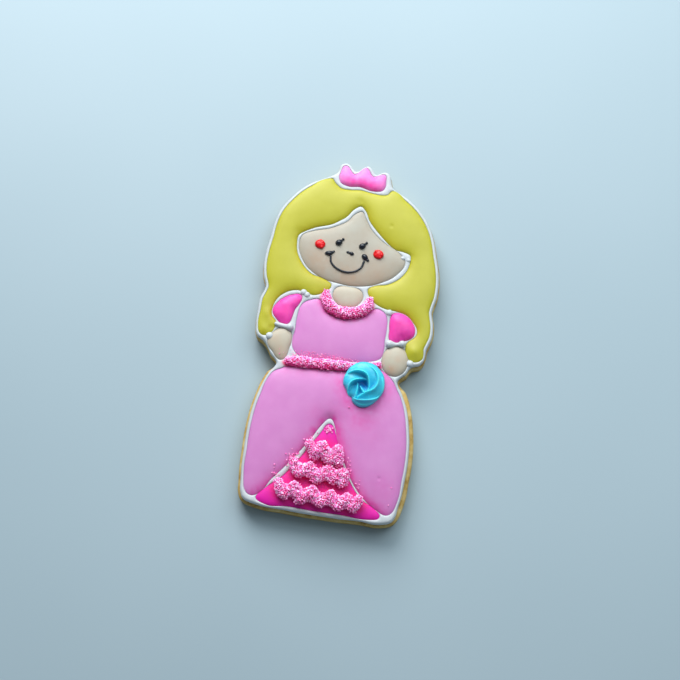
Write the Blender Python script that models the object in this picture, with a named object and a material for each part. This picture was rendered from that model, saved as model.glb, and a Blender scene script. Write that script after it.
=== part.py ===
"""Iced sugar cookie in the shape of a girl in a long dress, lying on its back.

Every outline is drawn in millimetres on the top face, +X to the right and +Y towards the crown.
Heights are millimetres above the underside. The scene itself is in metres.
"""

import math

import bpy
from mathutils import Vector

MM = 0.001

# Heights: baked base, white icing with pockets, coloured icing flooded into the pockets.
COOKIE_TOP = 6.0
WHITE_BOTTOM = 6.3
POCKET_FLOOR = 7.0
WHITE_TOP = 8.2
FLOOD_BOTTOM = 7.3
FLOOD_TOP = {
    "hair": 9.5, "face": 9.2, "neck": 9.0, "bodice": 9.2, "skirt": 9.3, "underskirt": 8.9, "sleeve": 9.5,
    "hand": 9.1, "crown": 9.3,
}
ROPE_BOTTOM = 8.5  # collar, belt and cuffs, on the white icing
TOPPING_BOTTOM = 9.6  # ruffles and rosette, on the dress

GAP = 0.3  # clearance between neighbouring pieces
COOKIE_EDGE = 1.0  # how far the baked base's edge is eased
WHITE_EDGE = 0.35
BROAD_EDGE = 0.6  # how far the edge of a broad flood is eased, and of a small one below
SMALL_EDGE = 0.45
BORDER = 1.4  # width of the white line round the outside of the figure

CURVE_STEPS = 2  # straight segments between two points of an outline
ROPE_SIDES = 2  # bevel resolution of the piped ropes
ROPE_FLATNESS = 0.68  # height of a piped rope over its width
RUFFLE_FLATNESS = 0.58
STROKE_FLATNESS = 0.75

# The white icing's outer edge, anticlockwise from the crown's right foot. Each run is
# (width of the bare baked rim beside it, points).
CROWN_EDGE = (0.35, [
    (7.0, 58.6), (5.6, 60.6), (3.4, 60.4), (1.7, 59.4), (0.4, 60.8), (-1.4, 62.0), (-3.2, 60.9), (-5.2, 59.4),
    (-7.2, 61.1), (-9.0, 61.8), (-10.7, 60.8), (-11.2, 58.4),
])
HEAD_LEFT = (0.3, [
    (-13.5, 56.4), (-19.8, 52.7), (-25.2, 46.9), (-28.6, 40.5), (-29.8, 32.0), (-30.4, 23.0), (-29.5, 18.0),
    (-28.4, 15.0), (-29.5, 11.0), (-29.6, 6.5), (-29.1, 0.5), (-28.3, -1.8), (-26.6, -2.8),
])
ARM_LEFT = (0.3, [(-24.9, -4.2), (-22.6, -7.5), (-20.4, -9.9)])
SKIRT_LEFT = (0.9, [
    (-22.1, -13.0), (-24.6, -20.5), (-25.9, -30.0), (-25.8, -40.0), (-25.0, -50.0), (-23.7, -54.9),
])
HEM = (0.8, [(-21.4, -56.1), (-11.0, -56.8), (2.0, -56.9), (15.0, -56.4), (24.9, -55.2)])
SKIRT_RIGHT = (1.5, [
    (26.4, -50.5), (27.2, -42.0), (27.2, -32.5), (26.0, -24.5), (24.2, -18.0), (21.6, -12.8),
])
ARM_RIGHT = (0.6, [(19.9, -9.6), (22.1, -6.9), (23.6, -4.2), (26.0, -3.2)])
HEAD_RIGHT = (0.5, [
    (27.4, -1.0), (27.6, 2.2), (28.8, 6.5), (28.5, 11.2), (27.5, 15.0), (28.3, 20.0), (28.0, 27.0),
    (26.0, 34.5), (23.4, 42.0), (19.0, 48.3), (13.2, 52.9), (7.9, 55.9),
])
FIGURE = [CROWN_EDGE, HEAD_LEFT, ARM_LEFT, SKIRT_LEFT, HEM, SKIRT_RIGHT, ARM_RIGHT, HEAD_RIGHT]

# The hair's free edges. Its outer edges follow the figure's.
FRINGE_BY_CROWN = [(8.2, 54.2), (6.9, 52.6), (3.5, 52.0), (-2.5, 52.6), (-8.9, 52.2), (-12.0, 54.3)]
LOCK_LEFT = [
    (-27.9, 0.4), (-26.6, -1.1), (-24.6, -0.5), (-23.3, 1.6), (-23.2, 3.6), (-24.6, 5.0), (-25.1, 8.6),
    (-22.8, 13.2), (-17.5, 15.7), (-12.2, 14.9), (-9.3, 16.2), (-7.5, 17.8),
]
PARTING = [
    (-7.4, 19.1), (-14.0, 21.2), (-19.3, 26.2), (-21.0, 31.5), (-20.6, 34.6), (-10.4, 39.9), (-6.0, 43.2),
    (-1.5, 47.7), (2.4, 43.0), (8.1, 37.5), (12.5, 34.6), (17.4, 33.6), (18.1, 31.6), (15.9, 25.1),
    (11.0, 21.5), (5.8, 19.5),
]
LOCK_RIGHT = [
    (6.2, 17.6), (8.9, 15.2), (12.8, 14.0), (18.7, 13.4), (22.3, 10.7), (24.0, 7.6), (23.2, 5.4), (21.3, 3.6),
    (21.1, 0.8), (22.6, -1.6), (24.6, -2.0), (26.4, -0.6),
]

FACE = [
    (-1.0, 45.3), (-4.8, 41.4), (-10.6, 37.8), (-18.2, 34.9), (-19.4, 33.2), (-18.2, 27.2), (-12.6, 22.0),
    (-5.0, 20.2), (3.0, 20.4), (9.6, 22.9), (14.6, 27.3), (15.6, 30.9), (8.2, 35.7), (3.1, 39.6), (0.1, 44.0),
]
NECK = [
    (-4.6, 18.2), (-5.6, 16.2), (-4.6, 13.9), (-2.9, 12.7), (-1.0, 12.3), (1.2, 12.8), (2.9, 14.2),
    (3.8, 16.2), (3.0, 18.2), (-0.8, 18.9),
]
COLLAR = [
    (-7.9, 15.2), (-7.6, 13.3), (-6.1, 11.5), (-3.8, 10.4), (-1.0, 10.1), (2.0, 10.7), (4.7, 11.9),
    (6.2, 13.4), (6.5, 15.1),
]
COLLAR_RADIUS = [1.25, 1.7, 1.85, 1.75, 1.85, 1.7, 1.85, 1.65, 1.2]
BODICE_LEFT = [(-9.9, 13.0), (-12.8, 12.4), (-15.0, 10.8), (-15.8, 8.0), (-15.8, 2.0), (-15.8, -3.5)]
BODICE_RIGHT = [(13.0, -2.5), (13.2, 3.0), (13.2, 7.8), (12.6, 11.0), (11.0, 12.6), (8.9, 12.9)]
SLEEVE_LEFT = [
    (-16.3, 13.5), (-18.4, 13.4), (-21.0, 12.1), (-23.4, 9.6), (-24.3, 7.2), (-22.9, 5.1), (-20.7, 3.6),
    (-19.0, 3.9), (-18.2, 6.0), (-17.7, 8.8), (-16.4, 11.4),
]
SLEEVE_RIGHT = [
    (15.0, 12.2), (14.5, 10.6), (14.9, 6.5), (15.3, 3.8), (16.8, 3.2), (19.6, 4.3), (22.1, 5.8), (22.6, 7.6),
    (21.4, 10.4), (19.2, 12.2), (17.0, 12.8),
]
HAND_LEFT = [
    (-19.9, 2.0), (-22.1, 0.7), (-23.9, -1.8), (-24.0, -3.9), (-21.9, -6.3), (-19.6, -8.4), (-18.3, -7.9),
    (-17.4, -4.5), (-17.0, -1.5), (-17.7, 0.9),
]
HAND_RIGHT_CENTRE = (17.9, -3.1)
HAND_RIGHT_RADII = (4.0, 4.8)
HAND_RIGHT_POINTS = 12
CUFFS = {
    "cuff_left": [(-22.6, 3.2), (-20.6, 2.8), (-17.7, 2.7)],
    "cuff_right": [(14.8, 2.4), (16.9, 2.15), (19.6, 3.0)],
}
CUFF_RADIUS = [0.5, 0.55, 0.85]

BELT = [
    (-16.4, -8.8), (-12.0, -8.4), (-8.0, -8.2), (-4.0, -7.9), (0.0, -7.6), (2.6, -7.4), (4.4, -7.2),
    (8.0, -6.6), (11.2, -5.8), (13.2, -5.2),
]
BELT_RADIUS = [1.35, 1.65, 1.5, 1.65, 1.55, 1.4, 0.5, 0.5, 0.5, 0.5]  # pressed thin under the rosette
BODICE_HEM_LEFT = -14.0  # where the bodice's lower edge leaves the belt for its rounded corner
SKIRT_HIP = [(-18.4, -11.9)]
SKIRT_FOOT_LEFT = [(-22.0, -53.2)]
SKIRT_FOOT_RIGHT = [(23.2, -52.8)]

SLIT = [
    (-19.6, -53.2), (-15.8, -47.9), (-9.9, -39.9), (-4.9, -32.0), (-1.6, -26.2), (0.1, -24.9), (1.7, -25.9),
    (4.2, -32.0), (8.6, -40.8), (13.5, -47.4), (20.0, -51.9),
]
UNDERSKIRT = [
    (0.2, -27.4), (-1.3, -29.6), (-6.4, -38.6), (-12.0, -46.8), (-18.2, -52.9), (-18.8, -54.5), (-9.0, -55.2),
    (9.0, -55.1), (20.2, -54.6), (20.6, -53.5), (14.0, -49.7), (6.9, -40.6), (1.8, -29.8),
]
CROWN = [
    (5.2, 57.6), (4.6, 59.5), (2.6, 59.0), (0.9, 58.2), (-0.6, 59.8), (-2.0, 61.0), (-3.7, 59.6),
    (-5.4, 58.0), (-7.0, 59.2), (-8.9, 60.7), (-10.0, 58.9), (-9.5, 54.6), (-3.0, 54.2), (4.6, 54.1),
]

# Ruffle tiers: (left end, right end, height of the middle line, its slope, number of swags).
RUFFLES = {
    "ruffle_upper": (-4.2, 5.0, -36.8, -0.06, 2),
    "ruffle_middle": (-8.6, 8.0, -43.4, -0.03, 3),
    "ruffle_lower": (-12.2, 13.2, -50.7, -0.02, 4),
}
RUFFLE_RADIUS = 2.45
RUFFLE_WAVE = 0.45  # how far each swag hangs below and above the middle line
RUFFLE_FULLNESS = 0.1  # how much its radius swells and shrinks
RUFFLE_POINTS_PER_SWAG = 4

ROSETTE_CENTRE = (9.1, -12.8)
ROSETTE_RADIUS = 6.9
ROSETTE_STRETCH = 1.06  # its length along Y over its width
ROSETTE_HEIGHT = 4.6
ROSETTE_ARMS = 6
ROSETTE_TWIST = math.radians(150)
ROSETTE_RINGS = 10
ROSETTE_TIP = 0.14  # radius of the top over that of the foot
ROSETTE_DOME = 0.8  # power of the cosine that closes it in
ARM_DEPTH = 0.13
POINTS_PER_ARM = 5

CHEEKS = {"cheek_left": (-12.8, 32.2, 1.9, 1.65), "cheek_right": (6.9, 31.8, 1.8, 1.7)}
CHEEK_HEIGHT = 0.9

# Strokes piped on the face: (points, radius at each point).
EYE_RADIUS = [0.45, 0.95, 1.15, 0.75, 0.55, 0.3]
STROKES = {
    "eye_left": (
        [(-7.7, 33.1), (-7.2, 33.3), (-6.5, 33.5), (-5.9, 34.1), (-5.5, 34.8), (-5.2, 35.4)],
        EYE_RADIUS,
    ),
    "eye_right": (
        [(0.3, 33.2), (0.8, 33.4), (1.4, 33.6), (1.9, 34.2), (2.3, 34.8), (2.6, 35.3)],
        EYE_RADIUS,
    ),
    "nose": (
        [(-3.5, 30.8), (-3.1, 30.8), (-2.5, 30.6), (-1.9, 30.7), (-1.5, 30.6)],
        [0.25, 0.55, 0.45, 0.6, 0.3],
    ),
    "mouth": (
        [(-8.7, 28.2), (-8.3, 26.5), (-6.7, 24.9), (-4.8, 24.1), (-2.9, 23.8), (-1.0, 24.1), (0.7, 24.9),
         (2.0, 26.3), (2.5, 28.2)],
        [0.4, 0.4, 0.38, 0.36, 0.36, 0.36, 0.38, 0.4, 0.4],
    ),
    "dimple_left": ([(-10.6, 29.0), (-9.6, 29.3), (-8.6, 29.5), (-7.8, 30.1)], [0.35, 0.75, 0.65, 0.4]),
    "dimple_right": ([(2.0, 30.3), (2.5, 29.9), (3.1, 29.5), (3.9, 29.2)], [0.5, 0.9, 0.7, 0.4]),
}
BEAD_END = 0.6  # how far a piped end reaches on, and how thin it gets, over its radius
BEAD_TIP = 0.5

# Colour, roughness.
BAKED = ("baked", (0.62, 0.42, 0.16), 0.8)
WHITE = ("icing_white", (0.88, 0.9, 0.88), 0.4)
YELLOW = ("icing_yellow", (0.72, 0.66, 0.11), 0.4)
SKIN = ("icing_skin", (0.78, 0.68, 0.55), 0.4)
PINK = ("icing_pink", (0.72, 0.32, 0.6), 0.4)
MAGENTA = ("icing_magenta", (0.85, 0.07, 0.35), 0.35)
BLUE = ("icing_blue", (0.02, 0.45, 0.72), 0.35)
RED = ("icing_red", (0.7, 0.03, 0.04), 0.4)
BLACK = ("icing_black", (0.02, 0.025, 0.03), 0.4)
SUGAR = ("sugar_pink", (0.9, 0.3, 0.55), 0.3)


def clear_scene():
    for old in list(bpy.data.objects):
        bpy.data.objects.remove(old, do_unlink=True)


def new_collection(name):
    collection = bpy.data.collections.new(name)
    bpy.context.scene.collection.children.link(collection)
    return collection


def material(look):
    name, colour, roughness = look
    found = bpy.data.materials.get(name)
    if found:
        return found
    made = bpy.data.materials.new(name)
    made.use_nodes = True
    shader = made.node_tree.nodes["Principled BSDF"]
    shader.inputs["Base Color"].default_value = (*colour, 1)
    shader.inputs["Roughness"].default_value = roughness
    return made


def beside(run, distance, closed=False):
    """A run of points moved sideways, to the right of the way it goes."""
    widths = distance if isinstance(distance, list) else [distance] * len(run)
    moved = []
    for i, (x, y) in enumerate(run):
        before = run[i - 1] if closed or i else run[0]
        after = run[(i + 1) % len(run)] if closed or i < len(run) - 1 else run[-1]
        way = Vector((after[0] - before[0], after[1] - before[1])).normalized()
        moved.append((x + way.y * widths[i], y - way.x * widths[i]))
    return moved


def ellipse(centre, radii, count):
    turns = [math.tau * i / count for i in range(count)]
    return [(centre[0] + radii[0] * math.cos(a), centre[1] + radii[1] * math.sin(a)) for a in turns]


def figure_outlines():
    """The white icing's edge, and the baked base's edge outside it."""
    white = [point for _, run in FIGURE for point in run]
    rims = [rim for rim, run in FIGURE for _ in run]
    return white, beside(white, rims, closed=True)


def hair_outline():
    outer_left = beside(HEAD_LEFT[1], -BORDER)[:-3]
    outer_right = beside(HEAD_RIGHT[1], -BORDER)[1:-1]
    return FRINGE_BY_CROWN + outer_left + LOCK_LEFT + PARTING + LOCK_RIGHT + outer_right


def bodice_outline():
    scoop = beside(COLLAR, max(COLLAR_RADIUS) + GAP)[2:-2]
    hem = [(x, y) for x, y in beside(BELT, -max(BELT_RADIUS) - GAP) if x > BODICE_HEM_LEFT]
    return BODICE_LEFT + hem[:-1] + BODICE_RIGHT + scoop[::-1]


def skirt_outline():
    waist = beside(BELT, max(BELT_RADIUS) + GAP)
    left = beside(SKIRT_LEFT[1], -BORDER)
    right = beside(SKIRT_RIGHT[1], -BORDER)
    return waist[::-1] + SKIRT_HIP + left[:-1] + SKIRT_FOOT_LEFT + SLIT + SKIRT_FOOT_RIGHT + right


def flat_shape(name, points, low, high, edge=0.0, spread=0.0):
    """A closed outline filled between two heights, with its edges eased and its outline spread."""
    curve = bpy.data.curves.new(name, "CURVE")
    curve.dimensions = "2D"
    curve.fill_mode = "BOTH"
    curve.resolution_u = CURVE_STEPS
    curve.extrude = ((high - low) / 2 - edge) * MM
    curve.bevel_depth = edge * MM
    curve.bevel_resolution = 0
    curve.offset = (spread - edge) * MM
    spline = curve.splines.new("BEZIER")
    spline.bezier_points.add(len(points) - 1)
    spline.use_cyclic_u = True
    for knot, (x, y) in zip(spline.bezier_points, points):
        knot.co = (x * MM, y * MM, 0)
        knot.handle_left_type = "AUTO"
        knot.handle_right_type = "AUTO"
    shape = bpy.data.objects.new(name, curve)
    shape.location.z = (low + high) / 2 * MM
    return shape


def add_piece(shape, look):
    shape.data.materials.append(material(look))
    pieces.objects.link(shape)
    shape.parent = middle


def as_mesh(shape, collection):
    """The same object as a welded mesh, which a Boolean can use."""
    collection.objects.link(shape)
    bpy.context.view_layer.update()
    evaluated = shape.evaluated_get(bpy.context.evaluated_depsgraph_get())
    mesh = bpy.data.meshes.new_from_object(evaluated)
    solid = bpy.data.objects.new(shape.name, mesh)
    solid.location = shape.location
    name = shape.name
    bpy.data.objects.remove(shape, do_unlink=True)
    solid.name = name
    weld = solid.modifiers.new("weld", "WELD")
    weld.merge_threshold = 0.00001
    collection.objects.link(solid)
    return solid


def rope(name, points, radii, low, flatness, look):
    """A piped line whose radius changes along it, with its underside at one height."""
    curve = bpy.data.curves.new(name, "CURVE")
    curve.dimensions = "3D"
    curve.bevel_depth = MM
    curve.bevel_resolution = ROPE_SIDES
    curve.use_fill_caps = True
    spline = curve.splines.new("POLY")
    spline.points.add(len(points) - 1)
    for knot, (x, y), radius in zip(spline.points, points, radii):
        knot.co = (x * MM, y * MM, (low / flatness + radius) * MM, 1)
        knot.radius = radius
    piped = bpy.data.objects.new(name, curve)
    piped.scale.z = flatness
    add_piece(piped, look)


def round_ended(points, radii):
    """Adds a small point beyond each end of a run, so that a rope closes like a bead."""
    ends = []
    for end, inner, radius in ((points[0], points[1], radii[0]), (points[-1], points[-2], radii[-1])):
        way = Vector((end[0] - inner[0], end[1] - inner[1])).normalized() * radius * BEAD_END
        ends.append((end[0] + way.x, end[1] + way.y))
    return [ends[0], *points, ends[1]], [radii[0] * BEAD_TIP, *radii, radii[-1] * BEAD_TIP]


def add_base():
    white_edge, baked_edge = figure_outlines()
    base = flat_shape("cookie_base", baked_edge, 0, COOKIE_TOP, COOKIE_EDGE)
    add_piece(base, BAKED)
    return white_edge


def add_floods(white_edge):
    """The white icing with a pocket for each coloured flood, and the floods."""
    hand_right = ellipse(HAND_RIGHT_CENTRE, HAND_RIGHT_RADII, HAND_RIGHT_POINTS)
    floods = [
        ("hair", hair_outline(), "hair", BROAD_EDGE, YELLOW),
        ("face", FACE, "face", BROAD_EDGE, SKIN),
        ("neck", NECK, "neck", SMALL_EDGE, SKIN),
        ("bodice", bodice_outline(), "bodice", BROAD_EDGE, PINK),
        ("skirt", skirt_outline(), "skirt", BROAD_EDGE, PINK),
        ("underskirt", UNDERSKIRT, "underskirt", SMALL_EDGE, MAGENTA),
        ("sleeve_left", SLEEVE_LEFT, "sleeve", SMALL_EDGE, MAGENTA),
        ("sleeve_right", SLEEVE_RIGHT, "sleeve", SMALL_EDGE, MAGENTA),
        ("hand_left", HAND_LEFT, "hand", SMALL_EDGE, SKIN),
        ("hand_right", hand_right, "hand", SMALL_EDGE, SKIN),
        ("crown", CROWN, "crown", SMALL_EDGE, MAGENTA),
    ]
    white = as_mesh(flat_shape("white_icing", white_edge, WHITE_BOTTOM, WHITE_TOP, WHITE_EDGE), pieces)
    white.data.materials.clear()
    white.data.materials.append(material(WHITE))
    white.parent = middle
    for name, points, kind, edge, look in floods:
        add_piece(flat_shape(name, points, FLOOD_BOTTOM, FLOOD_TOP[kind], edge), look)
        pocket = as_mesh(flat_shape(name + "_pocket", points, POCKET_FLOOR, 2 * WHITE_TOP, 0, GAP), cutters)
        pocket.parent = middle
        pocket.hide_render = True
        pocket.display_type = "WIRE"
        cut = white.modifiers.new(name, "BOOLEAN")
        cut.operation = "DIFFERENCE"
        cut.object = pocket


def add_ropes():
    collar = round_ended(COLLAR, COLLAR_RADIUS)
    rope("collar", *collar, ROPE_BOTTOM, ROPE_FLATNESS, SUGAR)
    belt = round_ended(BELT, BELT_RADIUS)
    rope("belt", *belt, ROPE_BOTTOM, ROPE_FLATNESS, SUGAR)
    for name, points in CUFFS.items():
        cuff = round_ended(points, CUFF_RADIUS)
        rope(name, *cuff, ROPE_BOTTOM, STROKE_FLATNESS, WHITE)


def add_ruffles():
    for name, (left, right, middle_line, slope, swags) in RUFFLES.items():
        count = swags * RUFFLE_POINTS_PER_SWAG + 1
        points = []
        radii = []
        for i in range(count):
            along = i / (count - 1)
            x = left + (right - left) * along
            swing = math.cos(math.tau * swags * along)
            points.append((x, middle_line + slope * x + RUFFLE_WAVE * swing))
            radii.append(RUFFLE_RADIUS * (1 - RUFFLE_FULLNESS * swing))
        ruffle = round_ended(points, radii)
        rope(name, *ruffle, TOPPING_BOTTOM, RUFFLE_FLATNESS, SUGAR)


def add_rosette():
    """A star-tip swirl: a lobed outline that turns and closes in as it rises."""
    star = bpy.data.curves.new("rosette_star", "CURVE")
    star.dimensions = "2D"
    ring = star.splines.new("POLY")
    count = ROSETTE_ARMS * POINTS_PER_ARM
    ring.points.add(count - 1)
    ring.use_cyclic_u = True
    for i, knot in enumerate(ring.points):
        turn = -math.tau * i / count
        reach = (1 - ARM_DEPTH * (0.5 - 0.5 * math.cos(ROSETTE_ARMS * turn))) * ROSETTE_RADIUS * MM
        knot.co = (reach * math.cos(turn), reach * math.sin(turn), 0, 1)
    guide = bpy.data.objects.new("rosette_star", star)
    guide.hide_render = True
    guide.display_type = "WIRE"
    guide.parent = middle
    cutters.objects.link(guide)

    swirl = bpy.data.curves.new("rosette", "CURVE")
    swirl.dimensions = "3D"
    swirl.bevel_mode = "OBJECT"
    swirl.bevel_object = guide
    swirl.use_fill_caps = True
    path = swirl.splines.new("POLY")
    path.points.add(ROSETTE_RINGS - 1)
    for i, knot in enumerate(path.points):
        quarter = i / (ROSETTE_RINGS - 1) * math.pi / 2
        knot.co = (0, 0, ROSETTE_HEIGHT * math.sin(quarter) * MM, 1)
        knot.radius = ROSETTE_TIP + (1 - ROSETTE_TIP) * math.cos(quarter) ** ROSETTE_DOME
        knot.tilt = ROSETTE_TWIST * (1 - math.cos(quarter))
    rosette = bpy.data.objects.new("rosette", swirl)
    rosette.location = (ROSETTE_CENTRE[0] * MM, ROSETTE_CENTRE[1] * MM, TOPPING_BOTTOM * MM)
    rosette.scale.y = ROSETTE_STRETCH
    add_piece(rosette, BLUE)


def add_face():
    low = FLOOD_TOP["face"] + GAP
    for name, (x, y, across, along) in CHEEKS.items():
        bpy.ops.mesh.primitive_uv_sphere_add(segments=12, ring_count=6, radius=MM)
        cheek = bpy.context.object
        for vertex in cheek.data.vertices:
            vertex.co = (vertex.co.x * across, vertex.co.y * along, max(0, vertex.co.z) * CHEEK_HEIGHT)
        cheek.name = name
        cheek.location = (x * MM, y * MM, low * MM)
        bpy.context.collection.objects.unlink(cheek)
        add_piece(cheek, RED)
    for name, (points, radii) in STROKES.items():
        stroke = round_ended(points, radii)
        rope(name, *stroke, low, STROKE_FLATNESS, BLACK)


def centre_on_origin():
    """Moves the whole cookie so that the baked base's middle is over the origin."""
    bpy.context.view_layer.update()
    base = bpy.data.objects["cookie_base"].evaluated_get(bpy.context.evaluated_depsgraph_get())
    corners = [Vector(corner) for corner in base.bound_box]
    for axis in range(2):
        low = min(corner[axis] for corner in corners)
        high = max(corner[axis] for corner in corners)
        middle.location[axis] = -(low + high) / 2


clear_scene()
pieces = new_collection("iced_cookie")
cutters = new_collection("cutters")
middle = bpy.data.objects.new("middle", None)
pieces.objects.link(middle)
add_floods(add_base())
add_ropes()
add_ruffles()
add_rosette()
add_face()
centre_on_origin()
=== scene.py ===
import math

import bmesh
import bpy
import numpy as np
from mathutils import Matrix, Vector, geometry, noise


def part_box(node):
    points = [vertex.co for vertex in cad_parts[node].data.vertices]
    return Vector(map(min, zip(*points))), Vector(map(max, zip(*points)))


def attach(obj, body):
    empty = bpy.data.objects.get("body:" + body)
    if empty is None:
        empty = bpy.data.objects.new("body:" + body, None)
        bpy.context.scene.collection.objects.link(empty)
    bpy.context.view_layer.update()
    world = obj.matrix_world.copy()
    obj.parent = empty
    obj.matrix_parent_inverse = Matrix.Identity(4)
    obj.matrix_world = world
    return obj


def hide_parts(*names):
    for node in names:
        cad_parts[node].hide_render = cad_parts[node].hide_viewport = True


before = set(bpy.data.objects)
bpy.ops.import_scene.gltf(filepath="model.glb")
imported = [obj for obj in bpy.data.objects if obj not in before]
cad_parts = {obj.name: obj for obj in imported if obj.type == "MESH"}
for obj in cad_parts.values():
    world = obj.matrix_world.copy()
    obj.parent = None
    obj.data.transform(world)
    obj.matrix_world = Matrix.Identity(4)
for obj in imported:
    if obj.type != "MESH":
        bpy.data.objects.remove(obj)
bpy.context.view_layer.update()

MM = 0.001
random = np.random.RandomState(7)

FOOT_BEVEL = 0.2  # the CAD's flat pieces are widest at the first level more than this over their foot
SAME_LEVEL = 0.02
OUTLINE_STEP = 0.35  # spacing of points along an icing edge
CURVE_STEPS = 16  # points worked out between two corners of a smooth line
BLOCK = 2500  # points compared with a line at a time
NUDGE = 0.08  # of a grid's points, as a share of its step
LINK_LIMIT = 5  # of the strength between two points, which thin triangles would pass
SOLVER_STEPS = 600
SOLVER_GOAL = 1e-10

# How far each piece spreads beyond its CAD outline. The floods run over the gap that the CAD keeps.
FLOOD_SPREAD = 0.35
SPREADS = {"crown": 0.12, "white_icing": -0.05, "cookie_base": -0.05}
LINE_WIDTH = 1.2  # of the white line between two flooded areas

# A side is a list of (inset, height) for each row of points below an edge.
FLOOD_GRID = 0.5
FLOOD_INSETS = (0.06, 0.16, 0.32, 0.55, 0.9)
FLOOD_GAP = 1.15  # between the edge and the grid
FLOOD_SIDE = [(0.03, 7.7), (0.22, 7.35)]
FLOOD_WAVES = [(0.05, 7.0, 0), (0.015, 2.2, 5)]
SHADE_AND_DYE_WAVES = (0.4, 1.3, 2)
EDGE_REACH = 1.0  # how far in a flood's edge goes on rising

BORDER_GRID = 0.34
BORDER_INSETS = (0.08, 0.22)
BORDER_GAP = 0.07
BORDER_SIDE = [(0.0, 6.7), (0.1, 6.3), (0.3, 5.9)]
BORDER_WAVES = [(0.06, 4.0, 0), (0.04, 1.6, 3)]
BORDER_DROP = 0.55  # how far the border curves down to its outer edge
DROP_WIDTH = 0.9
GROOVE = 8.05  # height where the white icing meets a flooded area
BEAD_HEIGHT = 0.5  # of the white lines over the groove
BEAD_REACH = 0.4
POCKET_FLOOR = 7.0  # of the white icing under a flooded area
POCKET_INSET = 0.4
ON_LINE = 0.01  # closer than this is on a line

BASE_GRID = 0.9
BASE_INSETS = (0.08, 0.25, 0.5, 0.8, 1.2, 1.7, 2.3)
BASE_GAP = 2.8
BASE_WAVES = [(1, 1.6, 0), (0.6, 0.7, 9)]
TOP_ROUND = 1.2  # radius of the cookie's upper edge
BOTTOM_ROUND = 0.9
SIDE_ROWS = 9
CRUMB_DEPTH = 0.14


# ---- outlines

def middle(node):
    """The middle of a CAD node's box, in plan."""
    low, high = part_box(node)
    return np.array([(low.x + high.x) / 2, (low.y + high.y) / 2]) / MM


def near(node, across, along):
    """A point this far from the middle of a CAD node."""
    return middle(node) + np.array([across, along])


def heights(node):
    low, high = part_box(node)
    return low.z / MM, high.z / MM


def welded(node):
    """A CAD node's points, each once, and its triangles."""
    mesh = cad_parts[node].data
    points = np.empty(len(mesh.vertices) * 3, np.float32)
    mesh.vertices.foreach_get("co", points)
    points = np.round(points.reshape(-1, 3).astype(float) / MM, 3)
    points, index = np.unique(points, axis=0, return_inverse=True)
    mesh.calc_loop_triangles()
    faces = np.empty(len(mesh.loop_triangles) * 3, np.int32)
    mesh.loop_triangles.foreach_get("vertices", faces)
    return points, index.reshape(-1)[faces].reshape(-1, 3)


def signed_area(ring):
    after = np.roll(ring, -1, axis=0)
    return (ring[:, 0] * after[:, 1] - ring[:, 1] * after[:, 0]).sum() / 2


def sides(face):
    """The three sides of a triangle, each as two points."""
    a, b, c = (int(corner) for corner in face)
    return (a, b), (b, c), (c, a)


def walk(links):
    """Follows links of the form {point: its neighbours} round to the start."""
    start = next(iter(links))
    loop = [start]
    before, here = None, start
    while True:
        ahead = [point for point in links[here] if point != before]
        before, here = here, ahead[0]
        if here == start:
            return loop
        loop.append(here)


def outline_of(node):
    """The corners of a flat CAD node's outline where it is widest, anticlockwise."""
    points, faces = welded(node)
    level = points[points[:, 2] > points[:, 2].min() + FOOT_BEVEL, 2].min()
    on_level = np.abs(points[:, 2] - level) < SAME_LEVEL
    links = {}
    for face in faces:
        for a, b in sides(face):
            if on_level[a] and on_level[b]:
                links.setdefault(a, set()).add(b)
                links.setdefault(b, set()).add(a)
    ring = points[walk(links), :2]
    return ring if signed_area(ring) > 0 else ring[::-1]


def between(t, a, b, p, q):
    """The point at t on a straight line that is at p at a, and at q at b."""
    return (b - t) / (b - a) * p + (t - a) / (b - a) * q


def through(corners, step, closed=True):
    """A smooth line through the corners, with points at an even step. It carries further values along."""
    if closed:
        ends = (corners[-1:], corners[:2])
    else:
        ends = (2 * corners[:1] - corners[1:2], 2 * corners[-1:] - corners[-2:-1])
    knots = np.concatenate([ends[0], corners, ends[1]])
    times = np.concatenate([[0], np.cumsum(np.linalg.norm(np.diff(knots, axis=0), axis=1) ** 0.5)])
    dense = []
    for i in range(1, len(knots) - 2):
        t0, t1, t2, t3 = times[i - 1:i + 3]
        p0, p1, p2, p3 = knots[i - 1:i + 3]
        t = np.linspace(t1, t2, CURVE_STEPS, endpoint=False)[:, None]
        a1 = between(t, t0, t1, p0, p1)
        a2 = between(t, t1, t2, p1, p2)
        a3 = between(t, t2, t3, p2, p3)
        b1 = between(t, t0, t2, a1, a2)
        b2 = between(t, t1, t3, a2, a3)
        dense.append(between(t, t1, t2, b1, b2))
    dense.append(corners[:1] if closed else corners[-1:])
    dense = np.concatenate(dense)
    run = np.concatenate([[0], np.cumsum(np.linalg.norm(np.diff(dense[:, :2], axis=0), axis=1))])
    count = max(8, round(run[-1] / step))
    wanted = np.linspace(0, run[-1], count, endpoint=not closed)
    return np.stack([np.interp(wanted, run, dense[:, k]) for k in range(dense.shape[1])], axis=1)


def blocks(count):
    return [slice(start, start + BLOCK) for start in range(0, count, BLOCK)]


def nearest(points, line):
    """The number of the line's point that is nearest to each point, in plan."""
    squares = (line ** 2).sum(axis=1)
    found = [(squares - 2 * points[part] @ line.T).argmin(axis=1) for part in blocks(len(points))]
    return np.concatenate(found)


def distance(points, ring):
    """How far each point is from a closed line whose points are close together."""
    at = nearest(points, ring)
    found = np.full(len(points), np.inf)
    for start, end in ((at - 1, at), (at, (at + 1) % len(ring))):
        way = ring[end] - ring[start]
        gap = points - ring[start]
        share = np.clip((gap * way).sum(axis=1) / (way ** 2).sum(axis=1), 0, 1)
        found = np.minimum(found, np.linalg.norm(gap - share[:, None] * way, axis=1))
    return found


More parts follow.
